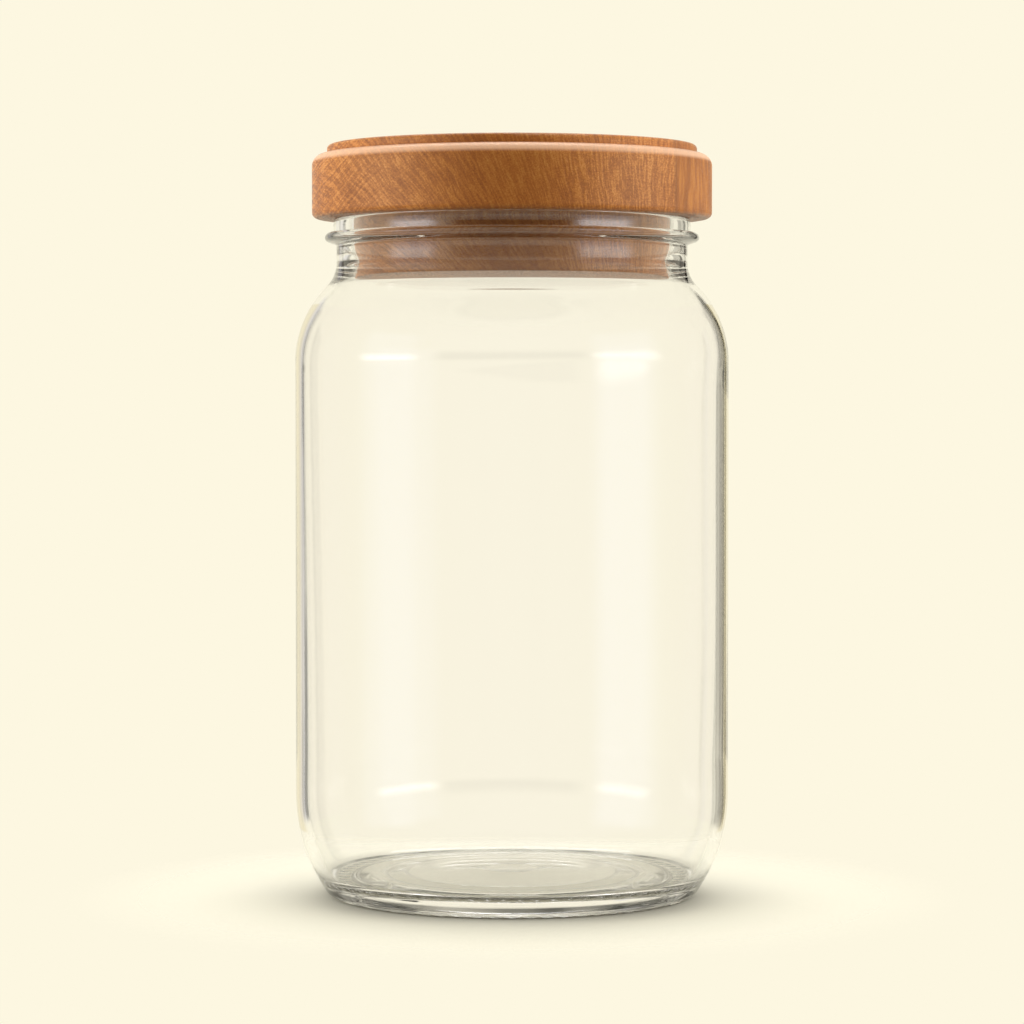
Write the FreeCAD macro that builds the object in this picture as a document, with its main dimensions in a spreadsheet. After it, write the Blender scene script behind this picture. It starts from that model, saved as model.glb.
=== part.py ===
"""A round clear glass storage jar, closed by a turned wooden drop-in lid.

The origin is the middle of the jar's base, where it stands, and +Z runs up the jar's axis. Sizes are in
millimetres. The jar is one piece of blown glass with an open inside. The lid is one turned piece of wood:
a disc with a raised step on top and a plug below, which hangs in the jar's mouth while the disc rests on
the rim.
"""
import FreeCAD, Part
import os
from math import acos, atan2, cos, hypot, pi, radians, sin, sqrt

import Sketcher

SIZES = {
    "jar_height": (139.3, "rim above the surface the jar stands on"),
    "body_radius": (44.6, "outside of the straight wall"),
    "bore_radius": (33.3, "inside of the mouth"),
    "finish_wall": (3.4, "glass between the mouth and the outside of the finish"),
    "neck_wall": (2.8, "glass between the mouth and the outside of the neck"),
    "rim_outer_round": (0.9, "rounding of the rim's outer edge"),
    "rim_inner_round": (0.6, "rounding of the rim's inner edge"),
    "bead_drop": (3.95, "rim down to the middle of the transfer bead's tip"),
    "bead_reach": (1.8, "bead's tip beyond the outside of the finish"),
    "bead_tip_round": (0.95, "radius of the bead's tip"),
    "bead_draft": (22.0, "slope of the bead's lower side, in degrees"),
    "bead_root_round": (0.5, "fillet where the bead's lower side meets the neck"),
    "neck_length": (5.05, "middle of the bead down to where the neck starts to flare"),
    "neck_round": (7.0, "outer radius of the flare below the neck"),
    "shoulder_round": (22.0, "outer radius of the shoulder"),
    "heel_round": (36.0, "outer radius of the heel"),
    "heel_setback": (8.45, "edge of the bearing ring in from the wall"),
    "foot_round": (2.9, "radius between the heel and the bearing ring"),
    "shoulder_wall": (1.5, "glass in the shoulder"),
    "heel_wall": (2.4, "glass in the heel"),
    "inner_neck_round": (13.0, "inner radius of the flare below the mouth"),
    "floor_height": (5.5, "inside floor above the base, at the axis"),
    "floor_dome_round": (430.0, "radius of the slightly raised inside floor"),
    "floor_corner_round": (3.2, "inside radius between floor and heel"),
    "bearing_width": (2.8, "width of the ring that the jar stands on"),
    "punt_slope_width": (1.6, "width of the slope inside the bearing ring"),
    "punt_depth": (1.3, "base above the bearing ring, just inside that slope"),
    "punt_dome_round": (420.0, "radius of the slightly hollow base"),
    "punt_root_round": (0.7, "rounding at both ends of the slope"),
    "plate_ring_radius": (25.9, "outer ring that the mould's bottom plate leaves"),
    "plate_inner_ring_radius": (21.7, "inner ring that the mould's bottom plate leaves"),
    "valve_ring_radius": (5.6, "ring that the mould's valve leaves in the middle"),
    "ring_groove_round": (0.45, "radius of those rings' grooves"),
    "knurl_count": (66, "grooves across the bearing ring"),
    "knurl_round": (1.6, "radius of one groove"),
    "knurl_depth": (0.4, "depth of one groove"),
    "lid_overhang": (4.4, "lid beyond the outside of the finish"),
    "lid_thickness": (13.1, "disc from its underside to its shelf"),
    "lid_lower_round": (1.2, "rounding of the disc's lower edge"),
    "lid_shelf_round": (2.4, "rounding of the disc's upper edge"),
    "step_setback": (3.1, "side of the raised step in from the side of the disc"),
    "step_height": (1.9, "raised step above the shelf"),
    "step_round": (0.8, "rounding of the step's upper edge"),
    "plug_clearance": (0.8, "gap between the plug and the mouth"),
    "plug_depth": (11.9, "plug below the disc"),
    "plug_round": (0.5, "rounding of the plug's lower edge"),
}
BELOW = 3.0  # how far a cutting profile reaches past the base or the rim

doc = FreeCAD.newDocument("storage_jar")
sizes = doc.addObject("Spreadsheet::Sheet", "sizes")
for row, (alias, (value, meaning)) in enumerate(SIZES.items(), start=1):
    sizes.set(f"A{row}", alias)
    sizes.set(f"B{row}", str(value))
    sizes.set(f"C{row}", meaning)
    sizes.setAlias(f"B{row}", alias)
doc.recompute()


def size(alias):
    """A driving dimension as a number, for a sketch's first guess. The constraints hold the real one."""
    return float(sizes.get(alias))


def origin_feature(body, role):
    return next(f for f in body.Origin.OriginFeatures if f.Role == role)


def new_body(name):
    body = doc.addObject("PartDesign::Body", name)
    body.Label = name
    return body


def new_sketch(body, name, role="XZ_Plane"):
    """A sketch on one of the body's own planes. On XZ, across is the radius and up is the height."""
    sketch = body.newObject("Sketcher::SketchObject", name)
    sketch.AttachmentSupport = [(origin_feature(body, role), "")]
    sketch.MapMode = "FlatFace"
    return sketch


def spin(body, kind, name, sketch):
    """Turns a profile round the body's axis, as glass is in its mould and wood on a lathe."""
    feature = body.newObject("PartDesign::" + kind, name)
    feature.Profile = sketch
    feature.ReferenceAxis = (sketch, ["V_Axis"])
    feature.Angle = 360
    sketch.Visibility = False
    return feature


def add_arc(sketch, start, end, centre):
    """An arc under half a turn, with the sketch's number for the end that the outline reaches first."""
    a0 = atan2(start[1] - centre[1], start[0] - centre[0])
    a1 = atan2(end[1] - centre[1], end[0] - centre[0])
    anticlockwise = (a1 - a0) % (2 * pi) < pi
    radius = hypot(start[0] - centre[0], start[1] - centre[1])
    circle = Part.Circle(FreeCAD.Vector(*centre, 0), FreeCAD.Vector(0, 0, 1), radius)
    low, high = (a0, a1) if anticlockwise else (a1, a0)
    arc = sketch.addGeometry(Part.ArcOfCircle(circle, low, high), False)
    ends = (1, 2) if anticlockwise else (2, 1)
    return arc, ends


def outline(sketch, start, edges):
    """Draws a closed outline. Each edge is name: (end, centre or None, "smooth" or "corner" with the one
    before). Lines along an axis are held to it. Returns each edge's number and its ends' numbers."""
    drawn, here = {}, start
    for name, (end, centre, _) in edges.items():
        if centre is None:
            line = Part.LineSegment(FreeCAD.Vector(*here, 0), FreeCAD.Vector(*end, 0))
            number, ends = sketch.addGeometry(line, False), (1, 2)
            if here[0] == end[0]:
                sketch.addConstraint(Sketcher.Constraint("Vertical", number))
            elif here[1] == end[1]:
                sketch.addConstraint(Sketcher.Constraint("Horizontal", number))
        else:
            number, ends = add_arc(sketch, here, end, centre)
        drawn[name] = (number, *ends)
        here = end
    names = list(edges)
    for before, name in zip(names[-1:] + names[:-1], names):
        (a, _, a_end), (b, b_start, _) = drawn[before], drawn[name]
        kind = "Tangent" if edges[name][2] == "smooth" else "Coincident"
        sketch.addConstraint(Sketcher.Constraint(kind, a, a_end, b, b_start))
    return drawn


def bind(sketch, name, constraint, formula):
    """Adds a dimension to a sketch and ties it to the sheet."""
    number = sketch.addConstraint(constraint)
    sketch.renameConstraint(number, name)
    sketch.setExpression("Constraints." + name, formula)


def across(sketch, name, point, formula, guess):
    bind(sketch, name, Sketcher.Constraint("DistanceX", -1, 1, *point, guess), formula)


def up(sketch, name, point, formula, guess):
    bind(sketch, name, Sketcher.Constraint("DistanceY", -1, 1, *point, guess), formula)


def round_to(sketch, name, edge, formula, guess):
    bind(sketch, name, Sketcher.Constraint("Radius", edge[0], guess), formula)


def on_axis(sketch, point):
    sketch.addConstraint(Sketcher.Constraint("PointOnObject", *point, -2))


def along(origin, target, distance):
    """The point this far from one point towards another."""
    reach = distance / hypot(target[0] - origin[0], target[1] - origin[1])
    return origin[0] + (target[0] - origin[0]) * reach, origin[1] + (target[1] - origin[1]) * reach


def meeting(one, one_radius, other, other_radius):
    """Where two circles cross, furthest out from the axis."""
    apart = hypot(other[0] - one[0], other[1] - one[1])
    share = (one_radius**2 - other_radius**2 + apart**2) / (2 * apart)
    side = sqrt(one_radius**2 - share**2)
    ux, uy = (other[0] - one[0]) / apart, (other[1] - one[1]) / apart
    foot = (one[0] + share * ux, one[1] + share * uy)
    return max((foot[0] - side * uy, foot[1] + side * ux), (foot[0] + side * uy, foot[1] - side * ux))


def ring_edges(shape, radius, height):
    """The names of the circular edges round the axis at this radius and height."""
    return [
        f"Edge{i}"
        for i, edge in enumerate(shape.Edges, start=1)
        if not edge.Degenerated
        and isinstance(edge.Curve, Part.Circle)
        and abs(edge.Curve.Radius - radius) < 1e-4
        and abs(edge.Curve.Center.z - height) < 1e-4
    ]


def soften(body, name, rings, formula):
    """Rounds the circular edges at the given radii and heights."""
    doc.recompute()
    base = body.Tip
    edges = [edge for radius, height in rings for edge in ring_edges(base.Shape, radius, height)]
    if len(edges) != len(rings):
        raise RuntimeError(f"{name}: found {len(edges)} of {len(rings)} edges")
    fillet = body.newObject("PartDesign::Fillet", name)
    fillet.Base = (base, edges)
    fillet.setExpression("Radius", formula)
    return fillet


# Radii that the pieces share, as formulas for the sheet and as numbers for first guesses.
FINISH_RADIUS = "sizes.bore_radius + sizes.finish_wall"
NECK_RADIUS = "sizes.bore_radius + sizes.neck_wall"
BEARING_RADIUS = "sizes.body_radius - sizes.heel_setback"
BEARING_INNER = BEARING_RADIUS + " - sizes.bearing_width"
SLOPE_END = BEARING_INNER + " - sizes.punt_slope_width"
BEAD_HEIGHT = "sizes.jar_height - sizes.bead_drop"
LID_RADIUS = FINISH_RADIUS + " + sizes.lid_overhang"

jar_height, body_radius, bore_radius = size("jar_height"), size("body_radius"), size("bore_radius")
finish_radius = bore_radius + size("finish_wall")
neck_radius = bore_radius + size("neck_wall")
bearing_radius = body_radius - size("heel_setback")
bearing_inner = bearing_radius - size("bearing_width")
bead_height = jar_height - size("bead_drop")


def outside(jar):
    """The jar as solid glass: bearing ring, foot, heel, wall, shoulder, neck and finish."""
    neck_round, shoulder_round = size("neck_round"), size("shoulder_round")
    heel_round, foot_round = size("heel_round"), size("foot_round")
    neck_base = bead_height - size("neck_length")
    foot = (bearing_radius, foot_round)
    neck = (neck_radius + neck_round, neck_base)
    shoulder_across = body_radius - shoulder_round
    rise = sqrt((neck_round + shoulder_round) ** 2 - (neck[0] - shoulder_across) ** 2)
    shoulder = (shoulder_across, neck_base - rise)
    heel_across = body_radius - heel_round
    heel = (heel_across, foot_round + sqrt((heel_round - foot_round) ** 2 - (foot[0] - heel_across) ** 2))

    sketch = new_sketch(jar, "outside_profile")
    edges = outline(sketch, (0, 0), {
        "base": ((bearing_radius, 0), None, "corner"),
        "foot": (along(heel, foot, heel_round), foot, "smooth"),
        "heel": ((body_radius, heel[1]), heel, "smooth"),
        "wall": ((body_radius, shoulder[1]), None, "smooth"),
        "shoulder": (along(shoulder, neck, shoulder_round), shoulder, "smooth"),
        "flare": ((neck_radius, neck_base), neck, "smooth"),
        "neck": ((neck_radius, bead_height), None, "smooth"),
        "ledge": ((finish_radius, bead_height), None, "corner"),
        "finish": ((finish_radius, jar_height), None, "corner"),
        "rim": ((0, jar_height), None, "corner"),
        "axis": ((0, 0), None, "corner"),
    })
    sketch.addConstraint(Sketcher.Constraint("Coincident", *edges["base"][:2], -1, 1))
    across(sketch, "bearing_radius", (edges["base"][0], 2), BEARING_RADIUS, bearing_radius)
    across(sketch, "body_radius", (edges["wall"][0], 1), "sizes.body_radius", body_radius)
    across(sketch, "neck_radius", (edges["neck"][0], 1), NECK_RADIUS, neck_radius)
    across(sketch, "finish_radius", (edges["finish"][0], 1), FINISH_RADIUS, finish_radius)
    up(sketch, "neck_base", (edges["neck"][0], 1), BEAD_HEIGHT + " - sizes.neck_length", neck_base)
    up(sketch, "bead_height", (edges["finish"][0], 1), BEAD_HEIGHT, bead_height)
    up(sketch, "jar_height", (edges["finish"][0], 2), "sizes.jar_height", jar_height)
    round_to(sketch, "foot_round", edges["foot"], "sizes.foot_round", foot_round)
    round_to(sketch, "heel_round", edges["heel"], "sizes.heel_round", heel_round)
    round_to(sketch, "shoulder_round", edges["shoulder"], "sizes.shoulder_round", shoulder_round)
    round_to(sketch, "neck_round", edges["flare"], "sizes.neck_round", neck_round)
    # The heights of the heel's and the shoulder's centres follow from the curves; the inside reads them.
    centres = (("heel_height", "heel", heel[1]), ("shoulder_height", "shoulder", shoulder[1]))
    for name, edge, height in centres:
        number = sketch.addConstraint(Sketcher.Constraint("DistanceY", -1, 1, edges[edge][0], 3, height))
        sketch.setDriving(number, False)
        sketch.renameConstraint(number, name)
    spin(jar, "Revolution", "glass", sketch)
    return sketch, heel, shoulder


def bead(jar):
    """The transfer bead: flat above, round at its tip and sloping back to the neck below."""
    tip, draft = size("bead_tip_round"), radians(size("bead_draft"))
    root = neck_radius - size("neck_wall") / 2
    centre = (finish_radius + size("bead_reach") - tip, bead_height)
    under = (centre[0] + tip * sin(draft), centre[1] - tip * cos(draft))
    low = (root, under[1] - (under[0] - root) * sin(draft) / cos(draft))

    sketch = new_sketch(jar, "bead_profile")
    edges = outline(sketch, (root, bead_height + tip), {
        "top": ((centre[0], bead_height + tip), None, "corner"),
        "tip": (under, centre, "smooth"),
        "underside": (low, None, "smooth"),
        "root": ((root, bead_height + tip), None, "corner"),
    })
    root_formula = NECK_RADIUS + " - sizes.neck_wall / 2"
    across(sketch, "root_radius", (edges["root"][0], 1), root_formula, root)
    across(sketch, "tip_across", (edges["tip"][0], 3),
           FINISH_RADIUS + " + sizes.bead_reach - sizes.bead_tip_round", centre[0])
    up(sketch, "tip_height", (edges["tip"][0], 3), BEAD_HEIGHT, bead_height)
    round_to(sketch, "tip_round", edges["tip"], "sizes.bead_tip_round", tip)
    slope = Sketcher.Constraint("Angle", -1, 1, edges["underside"][0], 2, draft)
    bind(sketch, "draft", slope, "sizes.bead_draft * 1 deg")
    spin(jar, "Revolution", "bead", sketch)


def inside(jar, outside_sketch, heel, shoulder):
    """The open inside, from above the rim down to the slightly raised floor."""
    inner_neck, corner_round = size("inner_neck_round"), size("floor_corner_round")
    dome_round, floor_height = size("floor_dome_round"), size("floor_height")
    shoulder_round = size("shoulder_round") - size("shoulder_wall")
    heel_round = size("heel_round") - size("heel_wall")
    flare_across = bore_radius + inner_neck
    rise = sqrt((shoulder_round + inner_neck) ** 2 - (flare_across - shoulder[0]) ** 2)
    flare = (flare_across, shoulder[1] + rise)
    dome = (0, floor_height - dome_round)
    corner = meeting(heel, heel_round - corner_round, dome, dome_round + corner_round)
    span = hypot(shoulder[0] - heel[0], shoulder[1] - heel[1])
    lean = atan2(shoulder[1] - heel[1], shoulder[0] - heel[0]) - acos((heel_round - shoulder_round) / span)
    wall_top = (shoulder[0] + shoulder_round * cos(lean), shoulder[1] + shoulder_round * sin(lean))
    wall_foot = (heel[0] + heel_round * cos(lean), heel[1] + heel_round * sin(lean))
    above = jar_height + BELOW

    sketch = new_sketch(jar, "inside_profile")
    edges = outline(sketch, (0, above), {
        "above": ((bore_radius, above), None, "corner"),
        "bore": ((bore_radius, flare[1]), None, "corner"),
        "flare": (along(shoulder, flare, shoulder_round), flare, "smooth"),
        "shoulder": (wall_top, shoulder, "smooth"),
        "wall": (wall_foot, None, "smooth"),
        "heel": (along(heel, corner, heel_round), heel, "smooth"),
        "corner": (along(corner, dome, corner_round), corner, "smooth"),
        "floor": ((0, floor_height), dome, "smooth"),
        "axis": ((0, above), None, "corner"),
    })
    on_axis(sketch, (edges["above"][0], 1))
    on_axis(sketch, (edges["floor"][0], 3))
    across(sketch, "bore_radius", (edges["bore"][0], 1), "sizes.bore_radius", bore_radius)
    across(sketch, "shoulder_centre", (edges["shoulder"][0], 3),
           "sizes.body_radius - sizes.shoulder_round", shoulder[0])
    across(sketch, "heel_centre", (edges["heel"][0], 3), "sizes.body_radius - sizes.heel_round", heel[0])
    up(sketch, "above", (edges["bore"][0], 1), f"sizes.jar_height + {BELOW}", above)
    up(sketch, "floor_height", (edges["floor"][0], edges["floor"][2]), "sizes.floor_height", floor_height)
    for name, edge, centre in (("shoulder_height", "shoulder", shoulder), ("heel_height", "heel", heel)):
        up(sketch, name, (edges[edge][0], 3), f"{outside_sketch.Name}.Constraints.{name}", centre[1])
    round_to(sketch, "flare_round", edges["flare"], "sizes.inner_neck_round", inner_neck)
    round_to(sketch, "shoulder_round", edges["shoulder"], "sizes.shoulder_round - sizes.shoulder_wall",
             shoulder_round)
    round_to(sketch, "heel_round", edges["heel"], "sizes.heel_round - sizes.heel_wall", heel_round)
    round_to(sketch, "corner_round", edges["corner"], "sizes.floor_corner_round", corner_round)
    round_to(sketch, "dome_round", edges["floor"], "sizes.floor_dome_round", dome_round)
    spin(jar, "Groove", "inside", sketch)


def punt(jar):
    """The hollow of the base inside the bearing ring: a slope, then a shallow dome."""
    slope_end, depth = bearing_inner - size("punt_slope_width"), size("punt_depth")
    dome_round = size("punt_dome_round")
    crown = depth + dome_round - sqrt(dome_round**2 - slope_end**2)

    sketch = new_sketch(jar, "punt_profile")
    edges = outline(sketch, (0, -BELOW), {
        "below": ((bearing_inner, -BELOW), None, "corner"),
        "side": ((bearing_inner, 0), None, "corner"),
        "slope": ((slope_end, depth), None, "corner"),
        "dome": ((0, crown), (0, crown - dome_round), "corner"),
        "axis": ((0, -BELOW), None, "corner"),
    })
    on_axis(sketch, (edges["below"][0], 1))
    on_axis(sketch, (edges["dome"][0], 3))
    across(sketch, "bearing_inner", (edges["side"][0], 1), BEARING_INNER, bearing_inner)
    across(sketch, "slope_end", (edges["slope"][0], 2), SLOPE_END, slope_end)
    up(sketch, "below", (edges["side"][0], 1), str(-BELOW), -BELOW)
    sketch.addConstraint(Sketcher.Constraint("PointOnObject", edges["side"][0], 2, -1))
    up(sketch, "depth", (edges["slope"][0], 2), "sizes.punt_depth", depth)
    round_to(sketch, "dome_round", edges["dome"], "sizes.punt_dome_round", dome_round)
    spin(jar, "Groove", "punt", sketch)
    soften(jar, "punt_edges", [(bearing_inner, 0), (slope_end, depth)], "sizes.punt_root_round")
    return crown


def mould_rings(jar, crown):
    """Shallow round grooves in the hollow base, where the mould's bottom plate and valve met the glass."""
    dome_round = size("punt_dome_round")
    crown_formula = ("sizes.punt_depth + sizes.punt_dome_round"
                     f" - sqrt(sizes.punt_dome_round ^ 2 - ({SLOPE_END}) ^ 2)")
    sketch = new_sketch(jar, "mould_ring_profile")
    for name in ("plate_ring", "plate_inner_ring", "valve_ring"):
        radius, groove = size(name + "_radius"), size("ring_groove_round")
        height = crown - dome_round + sqrt(dome_round**2 - radius**2)
        circle = Part.Circle(FreeCAD.Vector(radius, height, 0), FreeCAD.Vector(0, 0, 1), groove)
        number = sketch.addGeometry(circle, False)
        on_dome = f"- sizes.punt_dome_round + sqrt(sizes.punt_dome_round ^ 2 - sizes.{name}_radius ^ 2)"
        across(sketch, name + "_radius", (number, 3), f"sizes.{name}_radius", radius)
        up(sketch, name + "_height", (number, 3), f"{crown_formula} {on_dome}", height)
        round_to(sketch, name + "_groove", (number,), "sizes.ring_groove_round", groove)
    spin(jar, "Groove", "mould_rings", sketch)


def knurling(jar):
    """Round-bottomed grooves across the bearing ring, so that the base doesn't lie flat on a hot belt."""
    groove, depth = size("knurl_round"), size("knurl_depth")
    sketch = new_sketch(jar, "knurl_profile", "YZ_Plane")
    start = bearing_inner - size("punt_slope_width")
    sketch.AttachmentOffset = FreeCAD.Placement(FreeCAD.Vector(0, 0, start), FreeCAD.Rotation())
    sketch.setExpression("AttachmentOffset.Base.z", SLOPE_END)
    circle = Part.Circle(FreeCAD.Vector(0, depth - groove, 0), FreeCAD.Vector(0, 0, 1), groove)
    number = sketch.addGeometry(circle, False)
    on_axis(sketch, (number, 3))
    up(sketch, "groove_centre", (number, 3), "sizes.knurl_depth - sizes.knurl_round", depth - groove)
    round_to(sketch, "groove_round", (number,), "sizes.knurl_round", groove)
    cut = jar.newObject("PartDesign::Pocket", "knurl")
    cut.Profile = sketch
    cut.Reversed = True
    cut.setExpression("Length", "sizes.bearing_width + sizes.punt_slope_width + sizes.foot_round")
    sketch.Visibility = False
    doc.recompute()
    ring = jar.newObject("PartDesign::PolarPattern", "knurls")
    ring.Originals = [cut]
    ring.Axis = (origin_feature(jar, "Z_Axis"), [""])
    ring.Angle = 360
    ring.setExpression("Occurrences", "sizes.knurl_count")
    jar.Tip = ring


def make_jar():
    jar = new_body("jar")
    outside_sketch, heel, shoulder = outside(jar)
    bead(jar)
    inside(jar, outside_sketch, heel, shoulder)
    soften(jar, "rim_outer_edge", [(finish_radius, jar_height)], "sizes.rim_outer_round")
    soften(jar, "rim_inner_edge", [(bore_radius, jar_height)], "sizes.rim_inner_round")
    draft = radians(size("bead_draft"))
    tip = size("bead_tip_round")
    reach = finish_radius + size("bead_reach") - tip + tip * sin(draft) - neck_radius
    neck_meeting = bead_height - tip * cos(draft) - reach * sin(draft) / cos(draft)
    soften(jar, "bead_root", [(neck_radius, neck_meeting)], "sizes.bead_root_round")
    crown = punt(jar)
    mould_rings(jar, crown)
    knurling(jar)
    return jar


def make_lid():
    """The lid in its own frame, with the disc's underside at height 0, set down on the rim."""
    lid = new_body("lid")
    lid_radius = finish_radius + size("lid_overhang")
    step_radius = lid_radius - size("step_setback")
    plug_radius = bore_radius - size("plug_clearance")
    shelf, depth = size("lid_thickness"), size("plug_depth")
    top = shelf + size("step_height")

    sketch = new_sketch(lid, "lid_profile")
    edges = outline(sketch, (0, -depth), {
        "plug_face": ((plug_radius, -depth), None, "corner"),
        "plug_side": ((plug_radius, 0), None, "corner"),
        "underside": ((lid_radius, 0), None, "corner"),
        "side": ((lid_radius, shelf), None, "corner"),
        "shelf": ((step_radius, shelf), None, "corner"),
        "step_side": ((step_radius, top), None, "corner"),
        "top": ((0, top), None, "corner"),
        "axis": ((0, -depth), None, "corner"),
    })
    on_axis(sketch, (edges["plug_face"][0], 1))
    sketch.addConstraint(Sketcher.Constraint("PointOnObject", edges["underside"][0], 1, -1))
    across(sketch, "plug_radius", (edges["plug_side"][0], 1), "sizes.bore_radius - sizes.plug_clearance",
           plug_radius)
    across(sketch, "lid_radius", (edges["side"][0], 1), LID_RADIUS, lid_radius)
    across(sketch, "step_radius", (edges["step_side"][0], 1), LID_RADIUS + " - sizes.step_setback",
           step_radius)
    up(sketch, "plug_depth", (edges["plug_side"][0], 1), "-sizes.plug_depth", -depth)
    up(sketch, "lid_thickness", (edges["side"][0], 2), "sizes.lid_thickness", shelf)
    up(sketch, "top", (edges["top"][0], 1), "sizes.lid_thickness + sizes.step_height", top)
    spin(lid, "Revolution", "turned_blank", sketch)
    soften(lid, "plug_edge", [(plug_radius, -depth)], "sizes.plug_round")
    soften(lid, "lower_edge", [(lid_radius, 0)], "sizes.lid_lower_round")
    soften(lid, "shelf_edge", [(lid_radius, shelf)], "sizes.lid_shelf_round")
    soften(lid, "step_edge", [(step_radius, top)], "sizes.step_round")
    lid.setExpression("Placement.Base.z", "sizes.jar_height")
    return lid


def check(pieces):
    """Stops with a plain message if a feature failed or a piece isn't one sound solid."""
    doc.recompute()
    for thing in doc.Objects:
        if "Invalid" in thing.State or "Error" in thing.State:
            raise RuntimeError(f"{thing.Name} failed: {thing.State}")
        if thing.TypeId == "Sketcher::SketchObject" and (thing.solve() != 0 or not thing.FullyConstrained):
            raise RuntimeError(f"{thing.Name} isn't fully held: solve {thing.solve()}")
    for piece in pieces:
        if piece.Shape.isNull() or not piece.Shape.isValid() or len(piece.Shape.Solids) != 1:
            raise RuntimeError(f"{piece.Label} isn't one sound solid")


pieces = [make_jar(), make_lid()]
check(pieces)
os.makedirs("parts", exist_ok=True)
for piece in pieces:
    piece.Shape.exportStep(f"parts/{piece.Label}.step")
    box = piece.Shape.optimalBoundingBox()
    print(f"{piece.Label}: {piece.Shape.Volume / 1000:.2f} cm3, radius {box.XMax:.2f}, "
          f"height {box.ZMin:.2f} to {box.ZMax:.2f}")
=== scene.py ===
"""An empty glass storage jar with a turned wooden lid, on a pale surface in soft studio light."""
import math

import bpy
import numpy as np
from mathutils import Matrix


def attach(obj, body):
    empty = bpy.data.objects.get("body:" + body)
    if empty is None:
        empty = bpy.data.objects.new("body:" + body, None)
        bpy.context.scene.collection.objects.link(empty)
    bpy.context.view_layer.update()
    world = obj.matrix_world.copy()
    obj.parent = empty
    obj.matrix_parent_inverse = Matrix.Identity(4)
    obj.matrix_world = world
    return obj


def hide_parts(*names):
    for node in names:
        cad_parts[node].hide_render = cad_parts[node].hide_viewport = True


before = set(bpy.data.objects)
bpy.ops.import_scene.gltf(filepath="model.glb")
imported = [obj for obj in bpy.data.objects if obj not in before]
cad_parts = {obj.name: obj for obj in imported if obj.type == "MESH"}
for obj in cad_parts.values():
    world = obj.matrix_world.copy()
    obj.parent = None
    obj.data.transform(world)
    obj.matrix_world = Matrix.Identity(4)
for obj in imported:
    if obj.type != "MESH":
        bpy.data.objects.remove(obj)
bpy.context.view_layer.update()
MM = 0.001

# Where the jar is seen from: a long lens a little above the jar's middle, looking slightly down.
LENS = 126.6
CAMERA_DISTANCE = 742.6 * MM
CAMERA_HEIGHT = 102.3 * MM
CAMERA_DOWN = math.radians(1.80)

BACKDROP = "#FDF7E1"


def linear(hex_colour, alpha=1.0):
    """An sRGB hex colour as the linear values that a shader takes."""
    channels = [int(hex_colour[i : i + 2], 16) / 255 for i in (1, 3, 5)]
    return [c / 12.92 if c <= 0.04045 else ((c + 0.055) / 1.055) ** 2.4 for c in channels] + [alpha]


# ---------------------------------------------------------------- materials

# A colour mix's sockets: how much is laid over, what lies under, what is laid over it, and the result.
AMOUNT, UNDER, OVER, MIXED = 0, 6, 7, 2


def node(tree, kind, *inputs, out=0, named=None, stops=(), **settings):
    """Adds a shader node and returns one of its outputs. The inputs, by place or by name, are values or the
    outputs that feed them. The stops are a colour ramp's positions and hex colours, and the settings are the
    node's properties."""
    made = tree.nodes.new("ShaderNode" + kind)
    for name, value in settings.items():
        setattr(made, name, value)
    for key, value in list(enumerate(inputs)) + list((named or {}).items()):
        if isinstance(value, bpy.types.NodeSocket):
            tree.links.new(value, made.inputs[key])
        else:
            made.inputs[key].default_value = value
    if stops:
        elements = made.color_ramp.elements
        while len(elements) < len(stops):
            elements.new(0.5)
        for element, (position, hex_colour) in zip(elements, stops):
            element.position = position
            element.color = linear(hex_colour)
    return made.outputs[out] if made.outputs else made


def window(tree, value, low, high, soft):
    """1 between two levels, with soft edges."""
    above = node(tree, "MapRange", value, low - soft / 2, low + soft / 2, interpolation_type="SMOOTHSTEP")
    below = node(tree, "MapRange", value, high + soft / 2, high - soft / 2, interpolation_type="SMOOTHSTEP")
    return node(tree, "Math", above, below, operation="MULTIPLY")


def new_material(name):
    material = bpy.data.materials.new(name)
    material.use_nodes = True
    material.node_tree.nodes.clear()
    return material, material.node_tree


HEEL_EDGE = 34.0 * MM  # how far from the axis the thick glass of the heel starts
HEEL_SHADE_STREAK = 16.667 * MM  # from one streak of the painted dark band round the heel to the next


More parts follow.
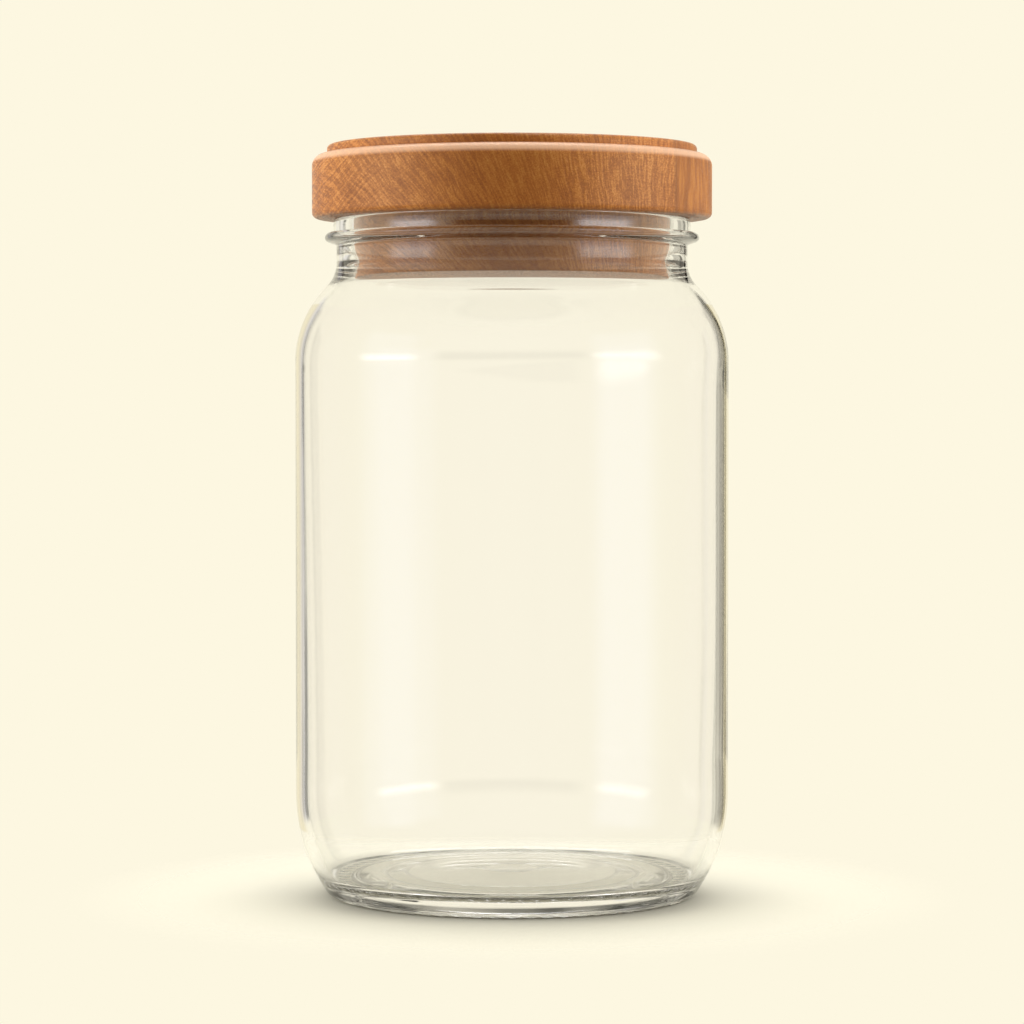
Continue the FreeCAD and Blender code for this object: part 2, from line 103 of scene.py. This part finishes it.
def soda_lime_glass(name, *edge_tint):
    """Soda-lime glass: it mirrors and bends light sharply and is almost colourless. Where a surface is met
    edge on, its colour darkens: partly the tint of the long way through the glass, partly painted shade that
    draws the dark lines at its edges. A painted dark band of broken streaks runs low round the heel, standing
    in for the shadow seen through it, and the thick heel throws the darkest shadow."""
    material, tree = new_material(name)
    facing = node(tree, "LayerWeight", 0.5, out=1)
    place = node(tree, "TexCoord", out=3)
    height = node(tree, "SeparateXYZ", place, out=2)
    level = node(tree, "VectorMath", place, (1, 1, 0), operation="MULTIPLY")
    reach = node(tree, "VectorMath", level, operation="LENGTH", out=1)

    # Painted shade: a dark band of broken streaks low round the heel stands in for the shadow seen through
    # the thick glass.
    streaks = node(tree, "TexNoise", place, named={"Scale": 1 / HEEL_SHADE_STREAK, "Detail": 1.0})
    streaks = node(tree, "MapRange", streaks, 0.35, 0.6, 0.5, 1.0)
    at_heel = node(tree, "MapRange", reach, HEEL_EDGE + 0.5 * MM, HEEL_EDGE + 2.0 * MM)
    painted_heel_shade = window(tree, height, 1.1 * MM, 2.5 * MM, 0.5 * MM)
    for part in (at_heel, streaks):
        painted_heel_shade = node(tree, "Math", painted_heel_shade, part, operation="MULTIPLY")
    # The tint at the edge is partly the long way through the glass, partly painted shade that draws dark edge
    # lines.
    tint = node(tree, "ValToRGB", facing, stops=[(0.0, "#FDFDFE"), *edge_tint])
    tint = node(tree, "Mix", data_type="RGBA", out=MIXED,
                named={AMOUNT: painted_heel_shade, UNDER: tint, OVER: linear("#14181B")})
    glass = node(tree, "BsdfPrincipled", named={
        "Base Color": tint, "Roughness": 0.0, "IOR": 1.52, "Transmission Weight": 1.0,
    })

    thick = node(tree, "MapRange", reach, HEEL_EDGE, HEEL_EDGE + 3.0 * MM)
    low = node(tree, "MapRange", height, 1.0 * MM, 8.0 * MM, 0.92, 0.0, interpolation_type="SMOOTHSTEP")
    heel = node(tree, "Math", thick, low, operation="MULTIPLY")
    shade = node(tree, "ValToRGB", facing, stops=[(0.0, "#FEFEFC"), (0.6, "#FAF9F4"), (1.0, "#BAB8B0")])
    shade = node(tree, "Mix", data_type="RGBA", out=MIXED,
                 named={AMOUNT: heel, UNDER: shade, OVER: linear("#33291A")})
    let_through = node(tree, "BsdfTransparent", shade)
    shadow_ray = node(tree, "LightPath", out=1)
    node(tree, "OutputMaterial", node(tree, "MixShader", shadow_ray, glass, let_through))
    return material


def fire_polished_outside():
    """The outside of the wall, smoothed by flame: clear, and straw-coloured at its edge."""
    return soda_lime_glass("soda_lime_glass_fire_polished", (0.73, "#FBFBF8"), (0.80, "#DDD0A8"),
                           (1.0, "#B09E6E"))


def blown_inside():
    """The inside of the wall, shaped by air alone: clear, faintly violet, and then dark at its edge as
    painted shade.
    """
    return soda_lime_glass("soda_lime_glass_blown", (0.30, "#FDFDFD"), (0.54, "#FAF8FA"), (0.85, "#EFECF1"),
                           (0.92, "#80858E"), (1.0, "#4E535A"))


def pressed_neck_and_base():
    """The neck and the base, which the mould chilled first: thick and evenly clear, grey at the edge."""
    return soda_lime_glass("soda_lime_glass_pressed", (0.80, "#FAFAF8"), (1.0, "#DEDCD0"))


# The lid's board, in mm across and above the jar's base. End grain faces the front. The pith lay below the
# lid, and right of the middle.
PITH_ACROSS, PITH_HEIGHT = 25.0, 86.0
PITH_TO_LID = 55.0
GLUE_LINE = 32.6
ARRIS_LOW, ARRIS_HIGH = 150.8, 152.2

# The sizes of its figure, in mm: across the grain, up the side and into the wood.
RAY_WIDTH, RAY_LENGTH, RAY_DEPTH = 0.3667, 4.545, 4.0
RING_WIDTH = 2.381
PORE_WIDTH, PORE_DEPTH = 0.33333, 3.333
BLOTCH = 11.11
WANDER, WANDER_REACH = 14.286, 2.0
STRIP_LINE, STRIP_LENGTH, STRIP_DEPTH = 0.6667, 10.0, 8.333


def end_grain(tree, place, grain):
    """The figure of the main board: fine pale rays that fan out from the pith, faint growth rings across them
    that show more on the left, where the wood is also darkened as painted shade, mottled pores, and painted
    shade down the middle, where the lid faces the front. Returns its colour, rays and pores."""
    wood_x, wood_y, wood_z = grain.node.outputs
    aside = node(tree, "Math", wood_x, PITH_ACROSS, operation="SUBTRACT")
    above = node(tree, "Math", wood_z, PITH_HEIGHT, operation="SUBTRACT")
    from_pith = node(tree, "CombineXYZ", aside, above)
    ring = node(tree, "VectorMath", from_pith, operation="LENGTH", out=1)
    turn = node(tree, "Math", aside, above, operation="ARCTAN2")

    ray_place = node(tree, "CombineXYZ", turn, ring, wood_y)
    ray_size = (RAY_WIDTH / PITH_TO_LID, RAY_LENGTH, RAY_DEPTH)
    ray_place = node(tree, "VectorMath", ray_place, ray_size, operation="DIVIDE")
    rays = node(tree, "TexNoise", ray_place, named={"Scale": 1.0, "Detail": 2.0, "Roughness": 0.6})
    rays = node(tree, "MapRange", rays, 0.42, 0.60)

    ring_place = node(tree, "Math", ring, RING_WIDTH, operation="DIVIDE")
    rings = node(tree, "TexNoise", noise_dimensions="1D",
                 named={"W": ring_place, "Detail": 3.0, "Roughness": 0.65})
    rings = node(tree, "MapRange", rings, 0.30, 0.68)

    pore_place = node(tree, "CombineXYZ", wood_x, wood_z, wood_y)
    pore_size = (PORE_WIDTH, PORE_WIDTH, PORE_DEPTH)
    pore_place = node(tree, "VectorMath", pore_place, pore_size, operation="DIVIDE")
    pores = node(tree, "TexNoise", pore_place, named={"Scale": 1.0, "Detail": 3.0, "Roughness": 0.7})
    pores = node(tree, "MapRange", pores, 0.38, 0.64)

    blotches = node(tree, "TexNoise", place, named={"Scale": 1 / BLOTCH, "Detail": 3.0, "Roughness": 0.55})
    blotches = node(tree, "MapRange", blotches, 0.32, 0.68)

    # Towards the left the growth rings show more, and the wood is darkened there as painted shade.
    left_rings_and_shade = node(tree, "MapRange", wood_x, -24.0, -34.0, 0.10, 0.42)
    figure = node(tree, "Math", rings, left_rings_and_shade, operation="MULTIPLY")
    for part, share in ((rays, 0.30), (pores, 0.34), (blotches, 0.24), (left_rings_and_shade, -0.62)):
        figure = node(tree, "Math", part, share, figure, operation="MULTIPLY_ADD")
    board = node(tree, "ValToRGB", figure,
                 stops=[(0.05, "#854610"), (0.37, "#A7611E"), (0.55, "#BC732A"), (0.85, "#D08D43")])

    # Painted shade: the middle of the lid, which faces the camera, is darkened towards a deep brown.
    off_middle = node(tree, "Math", wood_x, 1.0, operation="ADD")
    off_middle = node(tree, "Math", off_middle, operation="ABSOLUTE")
    painted_middle_shade = node(tree, "MapRange", off_middle, 3.0, 22.0, 0.46, 0.0, interpolation_type="SMOOTHSTEP")
    board = node(tree, "Mix", data_type="RGBA", out=MIXED,
                 named={AMOUNT: painted_middle_shade, UNDER: board, OVER: linear("#5E2B05")})
    return board, rays, pores


def side_strip(tree, grain):
    """The narrow strip beyond the glue line: straight, close lines in a more orange wood."""
    wood_x, wood_y, wood_z = grain.node.outputs
    line_place = node(tree, "CombineXYZ", wood_x, wood_z, wood_y)
    line_size = (STRIP_LINE, STRIP_LENGTH, STRIP_DEPTH)
    line_place = node(tree, "VectorMath", line_place, line_size, operation="DIVIDE")
    lines = node(tree, "TexNoise", line_place, named={"Scale": 1.0, "Detail": 3.0, "Roughness": 0.6})
    return node(tree, "ValToRGB", lines, stops=[(0.34, "#87490A"), (0.5, "#9A5510"), (0.66, "#B36E22")])


def oiled_hardwood():
    """Reddish-brown hardwood, turned from a glued-up board, sanded and oiled. The oil leaves a satin sheen,
    duller in the pores, and a pale band along the arris of the disc is a painted highlight."""
    material, tree = new_material("oiled_hardwood")
    place = node(tree, "TexCoord", out=3)
    place = node(tree, "VectorMath", place, named={3: 1 / MM}, operation="SCALE")
    lid_x, _, lid_z = node(tree, "SeparateXYZ", place).node.outputs
    wander = node(tree, "TexNoise", place, named={"Scale": 1 / WANDER, "Detail": 2.0}, out=1)
    wander = node(tree, "VectorMath", wander, (0.5, 0.5, 0.5), operation="SUBTRACT")
    wander = node(tree, "VectorMath", wander, named={3: WANDER_REACH}, operation="SCALE")
    grain = node(tree, "SeparateXYZ", node(tree, "VectorMath", place, wander, operation="ADD"))

    board, rays, pores = end_grain(tree, place, grain)
    in_strip = node(tree, "MapRange", lid_x, GLUE_LINE - 0.12, GLUE_LINE + 0.12)
    colour = node(tree, "Mix", data_type="RGBA", out=MIXED,
                  named={AMOUNT: in_strip, UNDER: board, OVER: side_strip(tree, grain)})
    from_joint = node(tree, "Math", lid_x, GLUE_LINE, operation="SUBTRACT")
    from_joint = node(tree, "Math", from_joint, operation="ABSOLUTE")
    joint = node(tree, "MapRange", from_joint, 0.10, 0.5, 0.45, 0.0)
    colour = node(tree, "Mix", data_type="RGBA", out=MIXED,
                  named={AMOUNT: joint, UNDER: colour, OVER: linear("#6E3A17")})
    # Painted highlight: the arris of the disc is blended pale where it catches the light from above.
    painted_arris_highlight = window(tree, lid_z, ARRIS_LOW, ARRIS_HIGH, 0.9)
    painted_arris_highlight = node(tree, "Math", painted_arris_highlight, 0.62, operation="MULTIPLY")
    colour = node(tree, "Mix", data_type="RGBA", out=MIXED,
                  named={AMOUNT: painted_arris_highlight, UNDER: colour, OVER: linear("#EFC4A4")})

    relief = node(tree, "Math", rays, 0.4, operation="MULTIPLY")
    relief = node(tree, "Math", pores, 0.6, relief, operation="MULTIPLY_ADD")
    bump = node(tree, "Bump", named={"Strength": 0.25, "Distance": 0.15 * MM, "Height": relief})
    gloss = node(tree, "MapRange", pores, 0.0, 1.0, 0.44, 0.33)
    wood = node(tree, "BsdfPrincipled", named={
        "Base Color": colour, "Roughness": gloss, "IOR": 1.46, "Specular IOR Level": 0.7,
        "Specular Tint": linear("#FFDFC0"), "Normal": bump,
    })
    node(tree, "OutputMaterial", wood)
    return material


def dress(name, material):
    """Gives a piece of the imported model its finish."""
    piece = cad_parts[name]
    for slot in piece.material_slots:
        slot.material = material
    return piece


# ---------------------------------------------------------------- the blown jar

# The jar's sizes in mm, outside first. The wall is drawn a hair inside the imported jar's, which is cut in
# flats.
JAR_HEIGHT = 139.3
BODY_RADIUS = 44.6
WALL_RADIUS = BODY_RADIUS - 0.02
SHOULDER_ROUND = 22.0
HEEL_ROUND = 36.0
FOOT_ROUND = 2.9
BEARING_RADIUS = 36.15
NECK_RADIUS, NECK_ROUND = 36.1, 7.0
FINISH_RADIUS = 36.7
RIM_OUTER_ROUND, RIM_INNER_ROUND = 0.9, 0.6
BEAD_HEIGHT = JAR_HEIGHT - 3.95
NECK_BASE = BEAD_HEIGHT - 5.05
BEAD_RADIUS, BEAD_TIP_ROUND = 38.5, 0.95
BEAD_DRAFT = math.radians(22)
BEAD_ROOT = (NECK_RADIUS + 0.5, BEAD_HEIGHT - 1.85)
BEAD_ROOT_END = (BEAD_ROOT[0] - 0.15, BEAD_ROOT[1] + 0.5)

# The hollow base: a shallow dome with the rings that the mould's bottom plate and valve leave, and a short
# slope down to the bearing ring, rounded above and below.
HOLLOW_HEIGHT, HOLLOW_ROUND, HOLLOW_EDGE = 2.5, 420.0, 31.45
MOULD_RINGS = (5.6, 21.7, 25.9)
RING_GROOVE_ROUND = 0.45
SLOPE_TOP, SLOPE_FOOT = (32.2, 0.93), (32.98, 0.30)
ABOVE_SLOPE, BELOW_SLOPE = (31.43, 0.61), (33.48, 0.70)

# The inside.
BORE_RADIUS = 33.3
INNER_NECK_ROUND = 13.0
SHOULDER_WALL, HEEL_WALL = 1.5, 2.4
FLOOR_HEIGHT, FLOOR_DOME_ROUND, FLOOR_CORNER_ROUND = 5.5, 430.0, 3.2

# The knurled bearing ring, and how finely the glass is divided round the axis.
KNURLS, KNURL_ROUND, KNURL_DEPTH = 66, 1.6, 0.4
SEGMENTS = 6 * KNURLS

# The part of the wall that air shaped; the mould pressed what is below and above.
BLOWN_FROM, BLOWN_TO = 15.0, 122.0


def polar(centre, radius, angle):
    return (centre[0] + radius * math.cos(angle), centre[1] + radius * math.sin(angle))


def meet(one, one_round, other, other_round):
    """Where the round stretch about one centre runs smoothly into the one about the other. The second
    rounding is negative where both bend the same way."""
    share = one_round / (one_round + other_round)
    return (one[0] + (other[0] - one[0]) * share, one[1] + (other[1] - one[1]) * share)


def nestle(one, one_reach, other, other_reach):
    """The point one_reach from one centre and other_reach from the other, on the side away from the axis."""
    apart = math.dist(one, other)
    towards = math.atan2(other[1] - one[1], other[0] - one[0])
    aside = math.acos((apart**2 + one_reach**2 - other_reach**2) / (2 * apart * one_reach))
    return polar(one, one_reach, towards - aside)


def trace(start, *edges):
    """Points along an outline in mm, as (radius, height). Each edge is (end, centre or None, steps)."""
    points, here = [start], start
    for end, centre, steps in edges:
        for i in range(1, steps + 1):
            share = i / steps
            if centre is None:
                points.append((here[0] + (end[0] - here[0]) * share, here[1] + (end[1] - here[1]) * share))
            else:
                a = math.atan2(here[1] - centre[1], here[0] - centre[0])
                b = math.atan2(end[1] - centre[1], end[0] - centre[0])
                turn = (b - a + math.pi) % math.tau - math.pi
                points.append(polar(centre, math.dist(centre, end), a + turn * share))
        here = end
    return points


def wall_centres():
    """The centres of the heel and the shoulder, which the outside and the inside of the wall share."""
    heel_across = BODY_RADIUS - HEEL_ROUND
    heel_rise = math.sqrt((HEEL_ROUND - FOOT_ROUND) ** 2 - (BEARING_RADIUS - heel_across) ** 2)
    shoulder_across = BODY_RADIUS - SHOULDER_ROUND
    flare_across = NECK_RADIUS + NECK_ROUND - shoulder_across
    shoulder_drop = math.sqrt((SHOULDER_ROUND + NECK_ROUND) ** 2 - flare_across**2)
    return (heel_across, FOOT_ROUND + heel_rise), (shoulder_across, NECK_BASE - shoulder_drop)


def base_outline():
    """The hollow base, from its middle out to the bearing ring."""
    dome = (0.0, HOLLOW_HEIGHT - HOLLOW_ROUND)

    def on_dome(radius):
        return (radius, dome[1] + math.sqrt(HOLLOW_ROUND**2 - radius**2))

    points = [on_dome(0.0)]
    for ring in MOULD_RINGS:
        points += [polar(on_dome(ring), RING_GROOVE_ROUND, math.radians(t)) for t in range(176, 0, -22)]
    return points + trace(on_dome(HOLLOW_EDGE),
                          (SLOPE_TOP, ABOVE_SLOPE, 4),
                          (SLOPE_FOOT, None, 2),
                          ((BELOW_SLOPE[0], 0.0), BELOW_SLOPE, 3),
                          ((BEARING_RADIUS, 0.0), None, 6))


def outer_wall(heel, shoulder):
    """Foot, heel, wall, shoulder, neck, bead and finish, up to the inner edge of the rim."""
    foot = (BEARING_RADIUS, FOOT_ROUND)
    flare = (NECK_RADIUS + NECK_ROUND, NECK_BASE)
    tip = (BEAD_RADIUS - BEAD_TIP_ROUND, BEAD_HEIGHT)
    under_tip = polar(tip, BEAD_TIP_ROUND, BEAD_DRAFT - math.pi / 2)
    bead_top = BEAD_HEIGHT + BEAD_TIP_ROUND
    outer_edge = (FINISH_RADIUS - RIM_OUTER_ROUND, JAR_HEIGHT - RIM_OUTER_ROUND)
    inner_edge = (BORE_RADIUS + RIM_INNER_ROUND, JAR_HEIGHT - RIM_INNER_ROUND)
    return trace((BEARING_RADIUS, 0.0),
                 (meet(heel, HEEL_ROUND, foot, -FOOT_ROUND), foot, 9),
                 ((WALL_RADIUS, heel[1]), heel, 12),
                 ((WALL_RADIUS, shoulder[1]), None, 12),
                 (meet(shoulder, SHOULDER_ROUND, flare, NECK_ROUND), shoulder, 14),
                 ((NECK_RADIUS, NECK_BASE), flare, 8),
                 ((NECK_RADIUS, BEAD_ROOT[1] - 0.05), None, 2),
                 (BEAD_ROOT_END, BEAD_ROOT, 3),
                 (under_tip, None, 2),
                 ((tip[0], bead_top), tip, 12),
                 ((FINISH_RADIUS, bead_top), None, 1),
                 ((FINISH_RADIUS, outer_edge[1]), None, 2),
                 ((outer_edge[0], JAR_HEIGHT), outer_edge, 6),
                 ((inner_edge[0], JAR_HEIGHT), None, 2),
                 ((BORE_RADIUS, inner_edge[1]), inner_edge, 5))


def inner_wall(heel, shoulder):
    """From the rim's inner edge down the mouth and the leaning wall to the middle of the raised floor."""
    heel_round, shoulder_round = HEEL_ROUND - HEEL_WALL, SHOULDER_ROUND - SHOULDER_WALL
    flare_across = BORE_RADIUS + INNER_NECK_ROUND
    flare_rise = math.sqrt((shoulder_round + INNER_NECK_ROUND) ** 2 - (flare_across - shoulder[0]) ** 2)
    flare = (flare_across, shoulder[1] + flare_rise)
    climb = math.atan2(shoulder[1] - heel[1], shoulder[0] - heel[0])
    lean = climb - math.acos((heel_round - shoulder_round) / math.dist(heel, shoulder))
    dome = (0.0, FLOOR_HEIGHT - FLOOR_DOME_ROUND)
    corner = nestle(dome, FLOOR_DOME_ROUND + FLOOR_CORNER_ROUND, heel, heel_round - FLOOR_CORNER_ROUND)
    return trace((BORE_RADIUS, JAR_HEIGHT - RIM_INNER_ROUND),
                 ((BORE_RADIUS, flare[1]), None, 4),
                 (meet(flare, INNER_NECK_ROUND, shoulder, shoulder_round), flare, 8),
                 (polar(shoulder, shoulder_round, lean), shoulder, 12),
                 (polar(heel, heel_round, lean), None, 40),
                 (meet(heel, heel_round, corner, -FLOOR_CORNER_ROUND), heel, 12),
                 (meet(dome, FLOOR_DOME_ROUND, corner, FLOOR_CORNER_ROUND), corner, 8),
                 ((0.0, FLOOR_HEIGHT), dome, 14))


def thickening(height, angles):
    """How far the blown wall's inside strays inwards, in mm: the glass is a little thicker on the right,
    and swells slightly with the height."""
    from_base = min(1.0, max(0.0, (height - 16) / 12))
    from_neck = min(1.0, max(0.0, (118 - height) / 14))
    right = (1 + np.cos(angles)) / 2
    swell = 0.20 * math.cos(math.tau * (height - 105) / 120)
    return from_base * from_neck * (right * (0.27 + swell) + (1 - right) * (0.02 - swell / 4))


def knurled(radius, height, angles):
    """The heights of the bearing ring's glass, in mm, where round grooves cross it from the inside out."""
    pitch = math.tau / KNURLS
    aside = radius * np.sin((angles + pitch / 2) % pitch - pitch / 2)
    groove = np.sqrt(np.maximum(KNURL_ROUND**2 - aside**2, 0)) - (KNURL_ROUND - KNURL_DEPTH)
    run_in = min(1.0, max(0.0, (radius - 33.6) / 1.2))
    return np.maximum(height, groove * run_in)


def jar_rings():
    """The jar's section turned round the axis: each point of it as a ring of (radii, heights), in mm, with
    the number of the ring where the inside starts."""
    heel, shoulder = wall_centres()
    outside = base_outline() + outer_wall(heel, shoulder)[1:]
    inside = inner_wall(heel, shoulder)[1:]
    angles = np.arange(SEGMENTS) * math.tau / SEGMENTS
    rings = []
    for radius, height in outside:
        on_ring = HOLLOW_EDGE - 0.5 < radius < BEARING_RADIUS + FOOT_ROUND and height < 1.4
        heights = knurled(radius, height, angles) if on_ring else np.full(SEGMENTS, height)
        rings.append((np.full(SEGMENTS, radius), heights))
    for radius, height in inside:
        rings.append((radius - thickening(height, angles), np.full(SEGMENTS, height)))
    return rings, angles, len(outside)


def blow_jar():
    """One closed skin of glass: base, outside, rim and inside, with a finish for each way it was shaped."""
    rings, angles, inside_start = jar_rings()
    middles = {0, len(rings) - 1}
    verts, faces, finishes, first = [], [], [], []
    for number, (radii, heights) in enumerate(rings):
        first.append(len(verts))
        count = 1 if number in middles else SEGMENTS
        across, deep = radii * np.cos(angles) * MM, radii * np.sin(angles) * MM
        verts += list(zip(across.tolist(), deep.tolist(), (heights * MM).tolist()))[:count]
    for number, (a, b) in enumerate(zip(first, first[1:])):
        height = (rings[number][1][0] + rings[number + 1][1][0]) / 2
        blown = BLOWN_FROM < height < BLOWN_TO
        inside = number >= inside_start - 1
        finishes += [int(inside) if blown else 2] * SEGMENTS
        for i in range(SEGMENTS):
            j = (i + 1) % SEGMENTS
            if number == 0:
                faces.append((a, b + j, b + i))
            elif number + 1 in middles:
                faces.append((a + i, a + j, b))
            else:
                faces.append((a + i, a + j, b + j, b + i))
    mesh = bpy.data.meshes.new("jar_glass")
    mesh.from_pydata(verts, [], faces)
    mesh.polygons.foreach_set("use_smooth", [True] * len(mesh.polygons))
    mesh.update()
    mesh.set_sharp_from_angle(angle=math.radians(38))
    piece = bpy.data.objects.new("jar_glass", mesh)
    bpy.context.scene.collection.objects.link(piece)
    for material in (fire_polished_outside(), blown_inside(), pressed_neck_and_base()):
        mesh.materials.append(material)
    mesh.polygons.foreach_set("material_index", finishes)
    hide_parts("jar")
    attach(piece, "root")
    return piece


# ---------------------------------------------------------------- the studio

def add_camera():
    data = bpy.data.cameras.new("camera")
    data.lens = LENS
    camera = bpy.data.objects.new("camera", data)
    camera.location = (0, -CAMERA_DISTANCE, CAMERA_HEIGHT)
    camera.rotation_euler = (math.pi / 2 - CAMERA_DOWN, 0, 0)
    bpy.context.scene.collection.objects.link(camera)
    bpy.context.scene.camera = camera


def bearing(tree, level, degrees, half_width, soft):
    """1 within half_width degrees of a bearing round the jar, from the camera's side towards +X, with soft
    edges. level is the direction laid flat."""
    turn = math.radians(degrees)
    aim = (math.sin(turn), -math.cos(turn), 0)
    cosine = node(tree, "VectorMath", level, aim, operation="DOT_PRODUCT", out=1)
    apart = node(tree, "Math", cosine, operation="ARCCOSINE")
    outer, inner = math.radians(half_width + soft / 2), math.radians(half_width - soft / 2)
    return node(tree, "MapRange", apart, outer, inner, interpolation_type="SMOOTHSTEP")


def seen_in_glass(tree, level, rise, hood):
    """What mirrored and bent sight lines meet: the pale backdrop, a tall white softbox at each side that is
    brightest at the jar's own height, the dark front of the studio, a white hood high behind, and, low behind
    the jar, the narrow cards that draw its edges."""
    boxes = node(tree, "Math", bearing(tree, level, -69, 16, 12), bearing(tree, level, 64, 19, 12),
                 operation="MAXIMUM")
    tall = node(tree, "Math", boxes, window(tree, rise, -0.25, 0.40, 0.10), operation="MULTIPLY")
    over_eye = node(tree, "MapRange", rise, 0.015, 0.045)
    under_top = node(tree, "MapRange", rise, 0.13, 0.055, interpolation_type="SMOOTHSTEP")
    core = node(tree, "Math", over_eye, under_top, operation="MULTIPLY")
    core = node(tree, "Math", boxes, core, operation="MULTIPLY")

    over_eye = node(tree, "MapRange", rise, 0.020, 0.032)
    under_top = node(tree, "MapRange", rise, 0.20, 0.08, interpolation_type="SMOOTHSTEP")
    dark_front = node(tree, "Math", over_eye, under_top, operation="MULTIPLY")
    dark_front = node(tree, "Math", bearing(tree, level, 0, 40, 14), dark_front, operation="MULTIPLY")

    # The left card is dense at the eye's height and at its foot, and thin between.
    card_heights = window(tree, rise, -0.17, 0.30, 0.04)
    foot = node(tree, "MapRange", rise, -0.080, -0.094)
    dense = node(tree, "Math", window(tree, rise, -0.012, 0.012, 0.01), foot, operation="MAXIMUM")
    dense = node(tree, "Math", dense, 0.46, 0.54, operation="MULTIPLY_ADD")
    left_veil = node(tree, "Math", card_heights, bearing(tree, level, 180 + 28, 5, 3), operation="MULTIPLY")
    left_card = node(tree, "Math", card_heights, bearing(tree, level, 180 + 33.2, 2.6, 1.5),
                     operation="MULTIPLY")
    left_card = node(tree, "Math", left_card, dense, operation="MULTIPLY")
    right_card = node(tree, "Math", card_heights, bearing(tree, level, 180 - 30.5, 6.5, 1.5),
                      operation="MULTIPLY")
    right_edge = node(tree, "Math", card_heights, bearing(tree, level, 180 - 22.6, 2.4, 0.8),
                      operation="MULTIPLY")

    seen = linear(BACKDROP)
    for amount, colour in (
        (tall, [1.2, 1.2, 1.2, 1.0]),
        (core, [3.6, 3.6, 3.6, 1.0]),
        (dark_front, linear("#4A4338")),
        (left_veil, linear("#E2DEDA")),
        (left_card, linear("#2A3034")),
        (right_card, linear("#B4AFA0")),
        (right_edge, linear("#1B1A17")),
        (hood, [6.0, 6.0, 6.0, 1.0]),
    ):
        seen = node(tree, "Mix", data_type="RGBA", out=MIXED,
                    named={AMOUNT: amount, UNDER: seen, OVER: colour})
    return seen


def light_on_matt(tree, level, rise, hood):
    """How strongly what is matt is lit: from above, from the softboxes, from behind and under the hood, and
    least from the camera's side."""
    overhead = node(tree, "Math", rise, 0.0, operation="MAXIMUM")
    overhead = node(tree, "Math", overhead, 2.0, operation="POWER")
    beside = node(tree, "Math", bearing(tree, level, -80, 30, 36), bearing(tree, level, 80, 30, 36),
                  operation="MAXIMUM")
    beside = node(tree, "Math", beside, window(tree, rise, -0.35, 0.55, 0.20), operation="MULTIPLY")
    behind = node(tree, "Math", bearing(tree, level, 180, 42, 30), window(tree, rise, 0.08, 0.75, 0.10),
                  operation="MULTIPLY")
    front = bearing(tree, level, 0, 62, 30)
    light = 0.42
    for source, strength in ((overhead, 0.6), (beside, 4.2), (behind, 1.9), (hood, 1.5), (front, -0.38)):
        light = node(tree, "Math", source, strength, light, operation="MULTIPLY_ADD")
    return light


def light_world():
    """A pale studio all round. Straight sight lines see its plain backdrop, mirrored and bent ones the studio
    itself, and the rest lights what is matt."""
    world = bpy.data.worlds.new("studio")
    bpy.context.scene.world = world
    world.use_nodes = True
    tree = world.node_tree
    tree.nodes.clear()
    direction = node(tree, "TexCoord")
    rise = node(tree, "SeparateXYZ", direction, out=2)
    level = node(tree, "VectorMath", direction, (1, 1, 0), operation="MULTIPLY")
    level = node(tree, "VectorMath", level, operation="NORMALIZE")
    hood = node(tree, "Math", bearing(tree, level, 180, 50, 20), window(tree, rise, 0.75, 0.982, 0.02),
                operation="MULTIPLY")

    path = node(tree, "LightPath").node.outputs
    bent = node(tree, "Math", path["Is Glossy Ray"], path["Is Transmission Ray"], operation="MAXIMUM")
    seen = node(tree, "Mix", data_type="RGBA", out=MIXED,
                named={AMOUNT: bent, UNDER: linear(BACKDROP), OVER: seen_in_glass(tree, level, rise, hood)})
    shown = node(tree, "Background", seen, 1.0)
    lit = node(tree, "Background", linear("#FFFCF5"), light_on_matt(tree, level, rise, hood))
    looked_at = node(tree, "Math", path["Is Camera Ray"], bent, operation="MAXIMUM")
    node(tree, "OutputWorld", node(tree, "MixShader", looked_at, lit, shown))


def add_floor():
    """A matt pale tabletop round the jar. It fades into the surround, so that no edge shows."""
    bpy.ops.mesh.primitive_circle_add(vertices=96, radius=0.10, fill_type="NGON", location=(0, 0, 0))
    floor = bpy.context.object
    floor.name = "tabletop"
    material, tree = new_material("matt_tabletop")
    reach = node(tree, "VectorMath", node(tree, "TexCoord", out=3), operation="LENGTH", out=1)
    fade = node(tree, "MapRange", reach, 0.045, 0.095, interpolation_type="SMOOTHSTEP")
    top = node(tree, "BsdfDiffuse", linear("#EBE9DB"))
    node(tree, "OutputMaterial", node(tree, "MixShader", fade, top, node(tree, "BsdfTransparent")))
    floor.data.materials.append(material)


def let_light_through():
    """Light passes many surfaces inside thick glass before it leaves. What it throws on the table is the
    glass's own soft shadow, without the bright rings that a lens draws."""
    cycles = bpy.context.scene.cycles
    cycles.caustics_refractive = False
    cycles.max_bounces = 16
    cycles.transmission_bounces = 16
    cycles.glossy_bounces = 16


blow_jar()
dress("lid", oiled_hardwood())
light_world()
add_floor()
add_camera()
let_light_through()
bpy.context.scene.view_settings.view_transform = "Standard"
